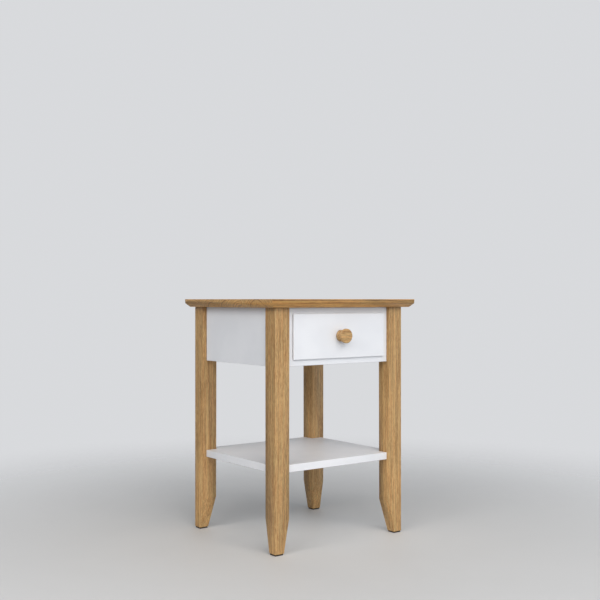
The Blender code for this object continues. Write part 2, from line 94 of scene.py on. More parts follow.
# Knob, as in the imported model
KNOB_DISC_THICKNESS = 0.0075
KNOB_EDGE_ROUNDING = 0.0015
KNOB_FLANGE_RADIUS = 0.0143
KNOB_FLANGE_THICKNESS = 0.004
KNOB_FLANGE_ROUNDING = 0.0010
KNOB_WAIST_RADIUS = 0.0105
KNOB_BACK_BEVEL_ANGLE = 150
KNOB_NECK_STEPS = 16
KNOB_STEPS = 96

# Dovetails of the drawer box
FRONT_TAILS = 3
BACK_TAILS = 2
PIN_ROOT_HALF = 0.0060
PIN_TIP_HALF = 0.0038
PIN_OVERLAP = 0.001
GLUE_LINE = 0.00015

# Where a tree's heart passes a piece, on the two axes across its grain: a start, and a step for
# each next piece. A board's steps start again after a cycle of pieces. A slide moves the figure
# along the grain, so that no two pieces match. Starts, steps and slides are in millimetres
LEG_HEART_START = (34, -46)
LEG_HEART_STEP = (-21, 17)
LEG_SLIDE = 900.0
BOARD_HEART_START = (30, -45)
BOARD_HEART_STEP = (-11, 9)
BOARD_HEART_CYCLE = (5, 4)
BOARD_SLIDE = 700.0
KNOB_HEART = (-34.0, -27.0)
KNOB_SLIDE = 350.0

# Camera: its place in metres, its turn about +Z in degrees, its sensor and lens in millimetres
CAMERA_PLACE = (-1.4911, -1.9801, 0.6000)
CAMERA_TURN = -37.06
CAMERA_SENSOR = 36.0
CAMERA_LENS = 57.0

# Floor, backdrop and light. The sky's reach is the direction at which its light levels off. A
# softbox is (place, point it faces, size, watts)
FLOOR_RADIUS = 1.9
FLOOR_FADE_START = 0.25
FLOOR_FADE_END = 0.95 * FLOOR_RADIUS
FLOOR_PALE = (0.71, 0.700, 0.680, 1.0)
FLOOR_DEEP = (0.68, 0.670, 0.650, 1.0)
FLOOR_MOTTLE_SCALE = 6.0
FLOOR_ROUGHNESS = 0.6
SKY_REACH = 0.8
BACKDROP = (0.690, 0.700, 0.720, 1.0)
SKY_TINT = (0.90, 1.03, 1.18)
SKY_LOW = 0.28
SKY_RIGHT = 0.36
LAMP_TINT = (1.02, 1.00, 0.99)
SOFTBOXES = {
    "front_softbox": ((-0.75, -3.90, 3.13), (0.0, 0.0, 0.35), (3.9, 3.0), 106.0),
    "left_softbox": ((-2.55, -3.45, 2.23), (0.0, 0.0, 0.35), (2.7, 2.4), 33.0),
    "low_softbox": ((-0.45, -4.80, 1.03), (0.0, 0.0, 0.35), (3.3, 1.5), 28.0),
    "side_softbox": ((-3.75, -1.20, 2.50), (0.0, 0.0, 0.40), (3.0, 2.4), 75.0),
    "top_softbox": ((0.0, -1.35, 4.05), (0.0, 0.0, 0.30), (3.0, 2.1), 20.0),
    "back_softbox": ((1.20, 3.45, 3.73), (0.0, 0.0, 0.35), (3.3, 2.4), 18.0),
}


# ---------------------------------------------------------------- shader nodes in short calls
# Worn edges: the normals' dot product on a full edge and on the flat, and how patchy the wear is
EDGE_TURN = (0.80, 0.995)
PATCH_SCALE = 0.05
PATCH_LEAST = 0.25


class Shader:
    """Adds nodes to a node tree. A socket given as an input is linked, any other value is set."""

    def __init__(self, tree):
        self.tree = tree

    def add(self, kind, inputs=None, **settings):
        node = self.tree.nodes.new("ShaderNode" + kind)
        for key, value in settings.items():
            setattr(node, key, value)
        for key, value in (inputs or {}).items():
            self.feed(node.inputs[key], value)
        return node

    def feed(self, socket, value):
        if isinstance(value, bpy.types.NodeSocket):
            self.tree.links.new(value, socket)
        else:
            socket.default_value = value

    def math(self, operation, *values, clamp=False):
        node = self.add("Math", operation=operation, use_clamp=clamp)
        for socket, value in zip(node.inputs, values):
            self.feed(socket, value)
        return node.outputs[0]

    def vector(self, x, y, z):
        return self.add("CombineXYZ", {"X": x, "Y": y, "Z": z}).outputs[0]

    def split(self, vector):
        return self.add("SeparateXYZ", {"Vector": vector}).outputs

    def noise(self, vector, detail=2.0, roughness=0.5, scale=1.0):
        inputs = {"Vector": vector, "Scale": scale, "Detail": detail, "Roughness": roughness}
        return self.add("TexNoise", inputs).outputs["Fac"]

    def stretch(self, coordinates, along, across):
        """Coordinates scaled by one number along the grain and another across it."""
        x, y, z = coordinates
        return self.vector(
            self.math("MULTIPLY", x, along),
            self.math("MULTIPLY", y, across),
            self.math("MULTIPLY", z, across),
        )

    def between(self, value, low, high, out_low=0.0, out_high=1.0):
        """A smooth step from out_low at low to out_high at high."""
        inputs = {"Value": value, "From Min": low, "From Max": high}
        inputs.update({"To Min": out_low, "To Max": out_high})
        return self.add("MapRange", inputs, interpolation_type="SMOOTHSTEP").outputs["Result"]

    def mix(self, share, first, second, blend="MIX"):
        node = self.add("Mix", data_type="RGBA", blend_type=blend)
        self.feed(node.inputs[0], share)
        self.feed(node.inputs[6], first)
        self.feed(node.inputs[7], second)
        return node.outputs[2]


def new_material(name):
    """A material with a Principled shader, as (material, shader helper, principled node)."""
    material = bpy.data.materials.new(name)
    material.use_nodes = True
    shader = Shader(material.node_tree)
    return material, shader, material.node_tree.nodes["Principled BSDF"]


def object_millimetres(shader):
    """The surface point in the frame's own axes, in millimetres."""
    place = shader.add("TexCoord").outputs["Object"]
    return [shader.math("MULTIPLY", value, MM_PER_METRE) for value in shader.split(place)]


def finish_surface(shader, principled, colour, roughness, height, strength, distance):
    """Links a surface's colour, roughness and relief. distance is the relief's depth in metres."""
    shader.feed(principled.inputs["Base Color"], colour)
    shader.feed(principled.inputs["Roughness"], roughness)
    bump = shader.add("Bump", {"Strength": strength, "Distance": distance, "Height": height})
    shader.feed(principled.inputs["Normal"], bump.outputs["Normal"])


def worn_edge(shader, reach):
    """0 on the flat, rising towards 1 on edges, within a reach in metres, patchily.

    An edge is where the normal rounded over the reach turns away from the true one.
    """
    rounded = shader.add("Bevel", {"Radius": reach}, samples=4)
    compare = shader.add("VectorMath", operation="DOT_PRODUCT")
    shader.feed(compare.inputs[0], rounded.outputs[0])
    shader.feed(compare.inputs[1], shader.add("NewGeometry").outputs["Normal"])
    edge = shader.between(compare.outputs["Value"], *EDGE_TURN, 1.0, 0.0)
    place = object_millimetres(shader)
    patchy = shader.noise(shader.stretch(place, PATCH_SCALE, PATCH_SCALE), 3.0, 0.6)
    return shader.math("MULTIPLY", edge, shader.between(patchy, 0.38, 0.62, PATCH_LEAST, 1.0))


# ---------------------------------------------------------------- wood
# A streak is (frequency along the grain, frequency across it, share), per millimetre
OAK = {
    "light": (0.620, 0.392, 0.167, 1.0),
    "dark": (0.290, 0.147, 0.046, 1.0),
    "pore": (0.150, 0.070, 0.020, 1.0),
    "ray": (0.700, 0.470, 0.220, 1.0),
    "worn": (0.620, 0.405, 0.190, 1.0),
    "drift": ((0.95, 1.00, 1.00, 1.0), (1.06, 0.985, 0.92, 1.0)),
    "end_tint": (0.92, 0.92, 0.92, 1.0),
    "streaks": ((0.0045, 0.16, 0.22), (0.020, 0.50, 0.28), (0.085, 0.85, 0.30), (0.05, 1.8, 0.20)),
    "ring_width": 3.4,
    "ring_contrast": 0.26,
    "streak_contrast": 0.84,
    "pore_strength": 0.70,
    "ray_strength": (0.25, 0.60),
    "ray_density": 75.0,
    "roughness": (0.36, 0.52),
    "bump": 0.12,
}
OAK_KNOB = dict(OAK, streaks=((0.03, 0.42, 0.45), (0.10, 0.95, 0.35), (0.10, 2.0, 0.20)))
OAK_TOP = dict(
    OAK,
    light=(0.755, 0.415, 0.130, 1.0),
    dark=(0.300, 0.134, 0.033, 1.0),
    end_tint=(0.92, 1.00, 1.28, 1.0),
    streaks=((0.005, 0.12, 0.10), (0.010, 0.42, 0.52), (0.05, 1.0, 0.22), (0.05, 1.9, 0.16)),
    ring_width=4.6,
    ring_contrast=0.46,
    streak_contrast=0.66,
    ray_strength=(0.05, 0.65),
    ray_density=16.0,
)
PINE = {
    "light": (0.740, 0.570, 0.355, 1.0),
    "dark": (0.560, 0.340, 0.150, 1.0),
    "pore": (0.560, 0.370, 0.190, 1.0),
    "ray": (0.760, 0.600, 0.390, 1.0),
    "worn": (0.780, 0.640, 0.440, 1.0),
    "drift": ((0.98, 1.00, 1.00, 1.0), (1.03, 0.98, 0.94, 1.0)),
    "end_tint": (0.80, 0.76, 0.70, 1.0),
    "streaks": ((0.0045, 0.16, 0.30), (0.011, 0.46, 0.45), (0.028, 1.5, 0.25)),
    "ring_width": 4.6,
    "ring_contrast": 0.62,
    "streak_contrast": 0.34,
    "pore_strength": 0.15,
    "ray_strength": None,
    "roughness": (0.50, 0.62),
    "bump": 0.07,
}
BEECH = dict(PINE, light=(0.66, 0.48, 0.31, 1.0), dark=(0.56, 0.38, 0.22, 1.0), ring_contrast=0.3)
GRAIN_ORDER = {"X": (0, 1, 2), "Y": (1, 2, 0), "Z": (2, 0, 1)}
STAVE_SEED = 37.0
STAVE_SLIDE = 4000.0
# A stave's heart, as (spread, first value): across it in stave widths, and below the surface in
# millimetres. Its shade is (spread, darkest). Its seam is (millimetres from the joint where the
# dark line starts to fade, where it is gone, and the line's shade)
STAVE_HEART_ACROSS = (2.2, -0.6)
STAVE_HEART_DEPTH = (-60.0, -55.0)
STAVE_SHADE = (0.22, 0.88)
STAVE_SEAM = (0.10, 0.45, 0.72)

# A scale is a frequency per millimetre, and a pair of them is along the grain and across it.
# A relief and a reach are in metres
SWAY_SCALE = (0.0035, 0.010)
PORE_SCALE = (0.10, 2.2)
DRIFT_SCALE = (0.012, 0.34)
RING_WANDER_SCALE = 0.11
RING_WANDER = 3.0
RAY_LENGTH_SCALE = 0.06
RAY_DEPTH_SCALE = 0.05
WOOD_SWAY = 9.0
WOOD_RELIEF = 0.0004
WOOD_WORN_REACH = 0.0016
WOOD_WORN_SHARE = 0.45


def growth_rings(shader, radius, width):
    """1 in the porous early wood at the start of each ring, falling to 0 in its late wood."""
    slow = shader.vector(shader.math("MULTIPLY", radius, RING_WANDER_SCALE), 0.0, 0.0)
    uneven = shader.noise(slow, 1.0)
    ring = shader.math("MULTIPLY_ADD", uneven, RING_WANDER, shader.math("DIVIDE", radius, width))
    season = shader.math("FRACT", ring)
    onset = shader.between(season, 0.0, 0.08)
    fade = shader.between(season, 0.12, 0.60, 1.0, 0.0)
    return shader.math("MULTIPLY", onset, fade)


def grain_streaks(shader, grain, streaks):
    """Streaks along the grain, from broad bands to single fibres, and the fibres alone."""
    total = 0.0
    for along, across, share in streaks:
        streak = shader.noise(shader.stretch(grain, along, across), 2.0, 0.6)
        total = shader.math("MULTIPLY_ADD", streak, share, total)
    return shader.between(total, 0.41, 0.59), streak


def ray_flecks(shader, along, angle, radius, density):
    """Medullary rays: pale flecks on a cut along the grain, pale radial lines on an end."""
    place = shader.vector(
        shader.math("MULTIPLY", along, RAY_LENGTH_SCALE),
        shader.math("MULTIPLY", angle, density),
        shader.math("MULTIPLY", radius, RAY_DEPTH_SCALE),
    )
    return shader.between(shader.noise(place, 1.0), 0.62, 0.70)


def wood_figure(shader, grain, end, species):
    """The wood's colour, roughness and height from grain coordinates in millimetres.

    The grain runs along the first coordinate, and the tree's heart is the line where the other
    two are zero, so a cut along it shows long figure and a cut across it shows ring arcs. end is
    1 on end grain and 0 on long grain.
    """
    slow = shader.stretch(grain, *SWAY_SCALE)
    warp = shader.add("TexNoise", {"Vector": slow, "Scale": 1.0, "Detail": 1.0})
    sway = [shader.math("SUBTRACT", value, 0.5) for value in shader.split(warp.outputs["Color"])]
    x, y, z = grain
    y = shader.math("MULTIPLY_ADD", sway[0], WOOD_SWAY, y)
    z = shader.math("MULTIPLY_ADD", sway[1], WOOD_SWAY, z)
    grain = (x, y, z)
    square = shader.math("ADD", shader.math("MULTIPLY", y, y), shader.math("MULTIPLY", z, z))
    radius = shader.math("SQRT", square)
    early = growth_rings(shader, radius, species["ring_width"])
    streak, fibre = grain_streaks(shader, grain, species["streaks"])

    # Open pores: short dark dashes, most of them in the early wood
    dash = shader.noise(shader.stretch(grain, *PORE_SCALE), 1.0)
    pore = shader.between(dash, 0.55, 0.68)
    pore = shader.math("MULTIPLY", pore, shader.math("MULTIPLY_ADD", early, 0.65, 0.35))
    pore = shader.math("MULTIPLY", pore, species["pore_strength"])

    # End grain shows the rings more and the streaks less
    rings, streaks = species["ring_contrast"], species["streak_contrast"]
    rings_seen = shader.math("MULTIPLY_ADD", end, 0.6 * rings, rings)
    streaks_seen = shader.math("MULTIPLY_ADD", end, -0.5 * streaks, streaks)
    tone = shader.math("MULTIPLY", streak, streaks_seen)
    tone = shader.math("MULTIPLY_ADD", early, rings_seen, tone, clamp=True)
    colour = shader.mix(tone, species["light"], species["dark"])
    drift = shader.between(shader.noise(shader.stretch(grain, *DRIFT_SCALE), 1.0), 0.36, 0.64)
    colour = shader.mix(1.0, colour, shader.mix(drift, *species["drift"]), "MULTIPLY")
    colour = shader.mix(end, colour, shader.mix(1.0, colour, species["end_tint"], "MULTIPLY"))
    if species["ray_strength"]:
        angle = shader.math("ARCTAN2", z, y)
        fleck = ray_flecks(shader, x, angle, radius, species["ray_density"])
        on_long, on_end = species["ray_strength"]
        shown = shader.math("MULTIPLY_ADD", end, on_end - on_long, on_long)
        colour = shader.mix(shader.math("MULTIPLY", fleck, shown), colour, species["ray"])
    colour = shader.mix(pore, colour, species["pore"])

    low, high = species["roughness"]
    roughness = shader.math("MULTIPLY_ADD", fibre, high - low, low)
    roughness = shader.math("MULTIPLY_ADD", pore, 0.25, roughness)
    height = shader.math("MULTIPLY_ADD", pore, -1.0, shader.math("MULTIPLY", fibre, 0.3))
    return colour, roughness, height


def finish_wood(shader, principled, colour, roughness, height, species):
    """Links the figure up, and rubs the colour paler along the edges."""
    rubbed = shader.math("MULTIPLY", worn_edge(shader, WOOD_WORN_REACH), WOOD_WORN_SHARE)
    colour = shader.mix(rubbed, colour, species["worn"])
    finish_surface(shader, principled, colour, roughness, height, species["bump"], WOOD_RELIEF)


def end_grain(shader, axis):
    """1 where the surface faces along the grain's axis, and 0 where it faces across it."""
    facing = shader.split(shader.add("TexCoord").outputs["Normal"])[GRAIN_ORDER[axis][0]]
    return shader.between(shader.math("ABSOLUTE", facing), 0.55, 0.85)


def grain_coordinates(shader, axis, heart, along):
    """Grain coordinates for a board whose grain runs along one axis of the frame.

    heart is where the tree's heart passes on the other two axes, in millimetres, and along
    slides the figure along the grain, so that no two boards match.
    """
    place = object_millimetres(shader)
    x, y, z = (place[i] for i in GRAIN_ORDER[axis])
    x = shader.math("ADD", x, along)
    y = shader.math("SUBTRACT", y, heart[0])
    z = shader.math("SUBTRACT", z, heart[1])
    return x, y, z


def wood_material(name, species, axis, heart, along):
    material, shader, principled = new_material(name)
    grain = grain_coordinates(shader, axis, heart, along)
    figure = wood_figure(shader, grain, end_grain(shader, axis), species)
    finish_wood(shader, principled, *figure, species)
    return material


def stave_material(name, species, front, stave_width, surface):
    """Boards glued edge to edge: the grain runs along X, and each stave has its own figure."""
    material, shader, principled = new_material(name)
    x, y, z = object_millimetres(shader)
    across = shader.math("DIVIDE", shader.math("SUBTRACT", y, front), stave_width)
    stave = shader.math("FLOOR", across)
    seed = shader.math("ADD", stave, STAVE_SEED)
    chance = shader.add("TexWhiteNoise", {"W": seed}, noise_dimensions="1D")
    pick = shader.split(chance.outputs["Color"])
    within = shader.math("MULTIPLY", shader.math("SUBTRACT", across, stave), stave_width)
    spread, first = STAVE_HEART_ACROSS
    heart_y = shader.math("MULTIPLY_ADD", pick[0], stave_width * spread, stave_width * first)
    spread, first = STAVE_HEART_DEPTH
    heart_z = shader.math("MULTIPLY_ADD", pick[1], spread, surface + first)
    grain = (
        shader.math("MULTIPLY_ADD", pick[2], STAVE_SLIDE, x),
        shader.math("SUBTRACT", within, heart_y),
        shader.math("SUBTRACT", z, heart_z),
    )
    figure = wood_figure(shader, grain, end_grain(shader, "X"), species)
    shade = shader.math("MULTIPLY_ADD", pick[1], *STAVE_SHADE)
    from_seam = shader.math("PINGPONG", within, stave_width / 2)
    seam = shader.between(from_seam, *STAVE_SEAM, 1.0)
    shade = shader.math("MULTIPLY", shade, seam)
    toned = shader.mix(1.0, figure[0], shader.vector(shade, shade, shade), "MULTIPLY")
    finish_wood(shader, principled, toned, *figure[1:], species)
    return material


# ---------------------------------------------------------------- paint, plywood, steel, felt
PAINT = (0.835, 0.838, 0.852, 1.0)
PAINT_SHADE = (0.800, 0.805, 0.822, 1.0)
PAINT_THIN = (0.700, 0.690, 0.670, 1.0)
PAINT_WORN_REACH = 0.0012
PAINT_WORN_SHARE = 0.22

# Pairs of frequencies per millimetre, along the grain and across it, or one twice where there is none
CLOUD_SCALE = (0.012, 0.012)
PEEL_SCALE = (0.45, 0.45)
TELEGRAPH_SCALE = (0.012, 0.85)
VENEER_WAVE_SCALE = (0.006, 0.030)
VENEER_FIBRE_SCALE = (0.03, 1.2)
SCRATCH_SCALE = (0.6, 9.0)
DULL_PATCH_SCALE = (0.5, 0.5)
FELT_SCALE = (1.1, 1.1)

# Plywood: contour lines in its veneer, and the millimetres that one pale and one dark ply take
VENEER_CONTOURS = 9.0
PLY_PAIR_THICKNESS = 1.667

# A pair is the two colours that a pattern moves between
VENEER = ((0.70, 0.54, 0.36, 1.0), (0.60, 0.43, 0.26, 1.0))
VENEER_FIBRE = (0.52, 0.36, 0.21, 1.0)
PLIES = ((0.66, 0.50, 0.33, 1.0), (0.40, 0.27, 0.16, 1.0))
ZINC = ((0.70, 0.70, 0.68, 1.0), (0.52, 0.52, 0.50, 1.0))
FELT_COLOURS = ((0.018, 0.012, 0.008, 1.0), (0.055, 0.038, 0.027, 1.0))


def paint_material(name, axis):
    """Satin paint over wood: a faint orange peel, the grain just showing through, thinner edges."""
    material, shader, principled = new_material(name)
    place = object_millimetres(shader)
    along = [place[i] for i in GRAIN_ORDER[axis]]
    cloud = shader.noise(shader.stretch(place, *CLOUD_SCALE), 2.0)
    peel = shader.noise(shader.stretch(place, *PEEL_SCALE), 2.0, 0.6)
    telegraph = shader.noise(shader.stretch(along, *TELEGRAPH_SCALE), 2.0, 0.6)
    thin = shader.math("MULTIPLY", worn_edge(shader, PAINT_WORN_REACH), PAINT_WORN_SHARE)
    base = shader.mix(shader.between(cloud, 0.35, 0.65), PAINT, PAINT_SHADE)
    base = shader.mix(shader.between(telegraph, 0.56, 0.74, 0.0, 0.5), base, PAINT_SHADE)
    base = shader.mix(thin, base, PAINT_THIN)
    roughness = shader.math("MULTIPLY_ADD", peel, 0.14, 0.38)
    height = shader.math("MULTIPLY_ADD", telegraph, 0.8, peel)
    finish_surface(shader, principled, base, roughness, height, 0.12, 0.0003)
    return material


def plywood_material(name):
    """A peeled veneer face, and plies on the edge."""
    material, shader, principled = new_material(name)
    x, y, z = grain_coordinates(shader, "X", (0.0, 0.0), 0.0)
    wave = shader.noise(shader.stretch((x, y, z), *VENEER_WAVE_SCALE), 3.0, 0.55)
    contour = shader.math("FRACT", shader.math("MULTIPLY", wave, VENEER_CONTOURS))
    line = shader.between(contour, 0.0, 0.8)
    fibre = shader.noise(shader.stretch((x, y, z), *VENEER_FIBRE_SCALE), 3.0, 0.6)
    ply = shader.math("FRACT", shader.math("DIVIDE", z, PLY_PAIR_THICKNESS))
    ply = shader.between(ply, 0.42, 0.58)
    normal = shader.split(shader.add("NewGeometry").outputs["Normal"])
    side = shader.between(shader.math("ABSOLUTE", normal[2]), 0.2, 0.8, 1.0, 0.0)
    colour = shader.mix(line, *VENEER)
    colour = shader.mix(shader.math("MULTIPLY", fibre, 0.4), colour, VENEER_FIBRE)
    edge = shader.mix(ply, *PLIES)
    colour = shader.mix(side, colour, edge)
    roughness = shader.math("MULTIPLY_ADD", fibre, 0.15, 0.55)
    finish_surface(shader, principled, colour, roughness, fibre, 0.08, 0.0003)
    return material


def steel_material(name):
    """Bright zinc plate with fine scratches and duller patches."""
    material, shader, principled = new_material(name)
    place = object_millimetres(shader)
    scratch = shader.noise(shader.stretch(place, *SCRATCH_SCALE), 2.0, 0.7)
    patch = shader.noise(shader.stretch(place, *DULL_PATCH_SCALE), 2.0)
    colour = shader.mix(patch, *ZINC)
    principled.inputs["Metallic"].default_value = 1.0
    roughness = shader.math("MULTIPLY_ADD", scratch, 0.20, 0.22)
    finish_surface(shader, principled, colour, roughness, scratch, 0.05, 0.0001)
    return material


def felt_material(name):
    """Dark pressed felt: matted fibres over a brown ground."""
    material, shader, principled = new_material(name)
    place = object_millimetres(shader)
    matted = shader.noise(shader.stretch(place, *FELT_SCALE), 4.0, 0.7)
    colour = shader.mix(matted, *FELT_COLOURS)
    roughness = shader.math("MULTIPLY_ADD", matted, 0.15, 0.80)
    finish_surface(shader, principled, colour, roughness, matted, 0.5, 0.0005)
    return material


WHITE = {axis: paint_material(f"white_paint_{axis.lower()}", axis) for axis in "XY"}
PLYWOOD = plywood_material("plywood")
STEEL = steel_material("steel")
FELT = felt_material("foot_pad")


# ---------------------------------------------------------------- meshes
def box_shape(low, high):
    shape = bmesh.new()
    bmesh.ops.create_cube(shape, size=1.0)
    bmesh.ops.scale(shape, vec=high - low, verts=shape.verts)
    bmesh.ops.translate(shape, vec=(low + high) / 2, verts=shape.verts)
    return shape


def extrude(shape, faces, offset):
    """Draws faces out by an offset and leaves the faces where they were."""
    extruded = bmesh.ops.extrude_face_region(shape, geom=faces)
    moved = [item for item in extruded["geom"] if isinstance(item, bmesh.types.BMVert)]
    bmesh.ops.translate(shape, vec=offset, verts=moved)


def outline_shape(outline, low, high, axes):
    """A flat outline, as (a, b) corners on two axes, made solid along the third."""
    shape = bmesh.new()
    third = 3 - axes[0] - axes[1]
    corners = []
    for a, b in outline:
        place = Vector()
        place[axes[0]] = a
        place[axes[1]] = b
        place[third] = low
        corners.append(shape.verts.new(place))
    offset = Vector()
    offset[third] = high - low
    extrude(shape, [shape.faces.new(corners)], offset)
    bmesh.ops.recalc_face_normals(shape, faces=shape.faces)
    return shape


def window_shape(low, high, hole_low, hole_high):
    """A board in the XZ plane with a rectangular opening through it."""
    shape = bmesh.new()
    columns = (low.x, hole_low.x, hole_high.x, high.x)
    rows = (low.z, hole_low.z, hole_high.z, high.z)
    grid = [[shape.verts.new((x, low.y, z)) for x in columns] for z in rows]
    for row in range(3):
        for column in range(3):
            if (row, column) == (1, 1):
                continue
            near, far = grid[row], grid[row + 1]
            shape.faces.new((near[column], near[column + 1], far[column + 1], far[column]))
    extrude(shape, list(shape.faces), (0, high.y - low.y, 0))
    bmesh.ops.recalc_face_normals(shape, faces=shape.faces)
    return shape


def round_edges(shape, edges, radius, segments):
    bmesh.ops.bevel(
        shape,
        geom=list(edges),
        offset=radius,
        segments=segments,
        profile=0.5,
        affect="EDGES",
        clamp_overlap=True,
    )


def sharp_edges(shape, angle=CREASE_ANGLE):
    return [edge for edge in shape.edges if edge.is_manifold and edge.calc_face_angle() > angle]


def runs_along(edge, axis):
    return abs((edge.verts[0].co - edge.verts[1].co).normalized()[axis]) > 0.9


def cut_level(shape, height):
    """Adds a ring of edges at a height."""
    bmesh.ops.bisect_plane(
        shape,
        geom=shape.verts[:] + shape.edges[:] + shape.faces[:],
        plane_co=(0, 0, height),
        plane_no=(0, 0, 1),
    )


def mesh_of(name, shape):
    mesh = bpy.data.meshes.new(name)
    shape.to_mesh(mesh)
    shape.free()
    return mesh


def merge_points(mesh):
    """Merges points that lie closer together than any detail, so that no face is a sliver."""
    shape = bmesh.new()
    shape.from_mesh(mesh)
    bmesh.ops.remove_doubles(shape, verts=shape.verts, dist=MERGE_DISTANCE)
    bmesh.ops.dissolve_degenerate(shape, edges=shape.edges, dist=MERGE_DISTANCE)
    shape.to_mesh(mesh)
    shape.free()


def copy_of(node):
    """A kept copy of a CAD node's mesh, with the points that its faces share made one."""
    mesh = frame["nodes"][node].data.copy()
    merge_points(mesh)
    return mesh


def combine(mesh, tool_shape, operation):
    """A mesh cut by a tool shape, or joined to it."""
    base = bpy.data.objects.new("base", mesh)
    tool = bpy.data.objects.new("tool", mesh_of("tool", tool_shape))
    scene.collection.objects.link(base)
    scene.collection.objects.link(tool)
    boolean = base.modifiers.new("combine", "BOOLEAN")
    boolean.operation = operation
    boolean.solver = "EXACT"
    boolean.object = tool
    graph = bpy.context.evaluated_depsgraph_get()
    result = bpy.data.meshes.new_from_object(base.evaluated_get(graph))
    bpy.data.objects.remove(base)
    bpy.data.objects.remove(tool)
    return result


def add_mesh(name, mesh, material, nodes):
    """A finished piece that stands for CAD nodes and moves with their body."""
    merge_points(mesh)
    mesh.materials.clear()
    mesh.materials.append(material)
    mesh.shade_smooth()
    piece = bpy.data.objects.new(name, mesh)
    scene.collection.objects.link(piece)
    weighted = piece.modifiers.new("even_shading", "WEIGHTED_NORMAL")
    weighted.mode = "FACE_AREA"
    weighted.weight = 100
    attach(piece, frame["nodes"][nodes[0]]["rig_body"])
    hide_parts(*nodes)
    return piece


def add_piece(name, shape, material, nodes):
    return add_mesh(name, mesh_of(name, shape), material, nodes)


# ---------------------------------------------------------------- oak pieces
def make_top():
    low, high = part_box("top_board")
    shape = box_shape(low, high)
    cut_level(shape, high.z - TOP_EDGE)
    middle = (low + high) / 2
    for vertex in shape.verts:
        if vertex.co.z < low.z + TOP_ARRIS:
            vertex.co.x -= math.copysign(TOP_CHAMFER_INWARD, vertex.co.x - middle.x)
            vertex.co.y -= math.copysign(TOP_CHAMFER_INWARD, vertex.co.y - middle.y)
    round_edges(shape, sharp_edges(shape), TOP_ARRIS, 4)
    stave_width = (high.y - low.y) / TOP_STAVES * MM_PER_METRE
    front, surface = low.y * MM_PER_METRE, high.z * MM_PER_METRE
    material = stave_material("oak_top", OAK_TOP, front, stave_width, surface)
    add_piece("top_board_finish", shape, material, ["top_board"])


def tree_heart(middle, start, step, turns):
    """Where the tree's heart passes a piece: off its middle by a start and some steps on each axis."""
    return tuple(m + a + b * turn for m, a, b, turn in zip(middle, start, step, turns))


def make_leg(end, side, number):
    """A leg with rounded long edges, whose two inner faces taper at the foot."""
    node = f"leg_{end}_{side}"
    low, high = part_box(node)
    middle = (low + high) / 2
    outward_x = -1 if side == "left" else 1
    outward_y = -1 if end == "front" else 1
    shape = box_shape(low, high)
    cut_level(shape, TAPER_START)
    for vertex in shape.verts:
        if vertex.co.z > low.z + LEG_END_CHAMFER:
            continue
        if (vertex.co.x - middle.x) * outward_x < 0:
            vertex.co.x += outward_x * TAPER_INWARD
        if (vertex.co.y - middle.y) * outward_y < 0:
            vertex.co.y += outward_y * TAPER_INWARD
    upright = [edge for edge in shape.edges if runs_along(edge, 2)]
    round_edges(shape, upright, LEG_ROUNDING, 6)
    crease = [
        edge
        for edge in shape.edges
        if all(abs(vertex.co.z - TAPER_START) < TOLERANCE for vertex in edge.verts)
    ]
    round_edges(shape, crease, TAPER_CREASE, 3)
    round_edges(shape, sharp_edges(shape, CORNER_ANGLE), LEG_END_CHAMFER, 2)
    across = (middle.x * MM_PER_METRE, middle.y * MM_PER_METRE)
    heart = tree_heart(across, LEG_HEART_START, LEG_HEART_STEP, (number, number))
    material = wood_material(f"oak_{node}", OAK, "Z", heart, LEG_SLIDE * (number + 1))
    add_piece(f"{node}_finish", shape, material, [node])


def arc(middle_radius, middle_height, radius, start, end, steps):
    """Points (radius, height) on a circle, by the angle from the knob's axis."""
    points = []
    for step in range(steps + 1):
        angle = math.radians(start + (end - start) * step / steps)
        points.append((middle_radius + radius * math.sin(angle), middle_height + radius * math.cos(angle)))
    return points


def knob_profile(height, disc_radius):
    """(radius, height) from the flat face down to the flange. The neck is two cosine curves."""
    disc_back = height - KNOB_DISC_THICKNESS
    rounding = KNOB_EDGE_ROUNDING
    rim = disc_radius - rounding
    profile = [(0.0, height)]
    profile += arc(rim, height - rounding, rounding, 0, 90, 8)
    profile += arc(rim, disc_back + rounding, rounding, 90, KNOB_BACK_BEVEL_ANGLE, 6)
    neck_top = disc_radius - 1.5 * rounding
    waist = (disc_back + KNOB_FLANGE_THICKNESS) / 2
    for step in range(KNOB_NECK_STEPS + 1):
        share = step / KNOB_NECK_STEPS
        ease = ((1 + math.cos(math.pi * share)) / 2) ** 1.5
        radius = KNOB_WAIST_RADIUS + (neck_top - KNOB_WAIST_RADIUS) * ease
        profile.append((radius, disc_back + (waist - disc_back) * share))
    for step in range(1, KNOB_NECK_STEPS):
        share = step / KNOB_NECK_STEPS
        ease = (1 - math.cos(math.pi * share)) / 2
        radius = KNOB_WAIST_RADIUS + (KNOB_FLANGE_RADIUS - KNOB_WAIST_RADIUS) * ease
        profile.append((radius, waist + (KNOB_FLANGE_THICKNESS - waist) * share))
    flange = KNOB_FLANGE_RADIUS - KNOB_FLANGE_ROUNDING
    profile += arc(flange, KNOB_FLANGE_THICKNESS - KNOB_FLANGE_ROUNDING, KNOB_FLANGE_ROUNDING, 45, 90, 4)
    profile += [(KNOB_FLANGE_RADIUS, 0.0), (0.0, 0.0)]
    return profile


